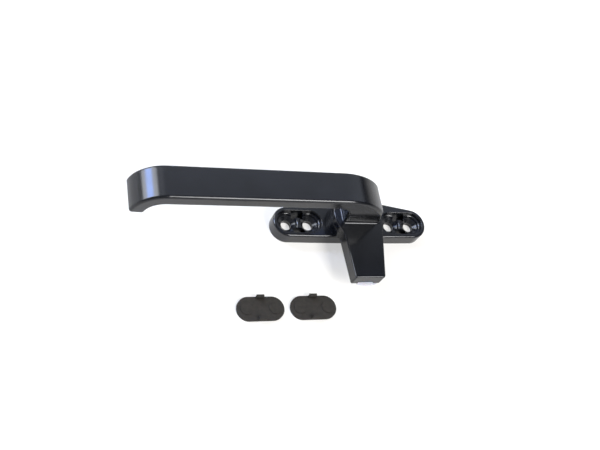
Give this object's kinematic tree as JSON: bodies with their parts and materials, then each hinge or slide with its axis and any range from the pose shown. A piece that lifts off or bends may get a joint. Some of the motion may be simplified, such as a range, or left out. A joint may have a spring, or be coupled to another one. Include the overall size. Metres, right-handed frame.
{
  "type": "window lock handle",
  "caption": "Cockspur window lock handle: screw-on base plate, turning lever with a hooked grip and a nose that bears on the frame, and two loose screw covers.",
  "frame": {"origin": "centre of the mounting face, on the lever's turning axis and midway between the screw holes", "axes": "+X along the base plate, away from the grip at rest; +Y away from the nose, over the sash; +Z out of the mounting face, along the turning axis"},
  "size_m": [0.1499, 0.0605, 0.0396],
  "materials": {
    "black_paint": "satin black powder coat on die-cast metal",
    "white_nylon": "natural white moulded nylon",
    "acetal": "turned acetal",
    "zinc_steel": "bright zinc plate",
    "spring_steel": "oiled spring steel",
    "dark_plastic": "matt dark grey moulding"
  },
  "bodies": {
    "base": {"base_plate": "black_paint", "pivot_bush": "acetal", "thrust_washer": "zinc_steel", "wave_washer": "spring_steel", "screw_cover_left": "dark_plastic", "screw_cover_right": "dark_plastic"},
    "lever": {"lever_handle": "black_paint", "nose_pad": "white_nylon", "stop_plate": "zinc_steel", "lock_washer": "spring_steel", "retaining_screw": "zinc_steel"}
  },
  "joints": [
    {"name": "lever_turn", "type": "hinge", "parent": "base", "child": "lever", "pos_m": [0, 0, 0], "axis": [0, 0, 1], "range_deg": [-90, 0]}
  ]
}
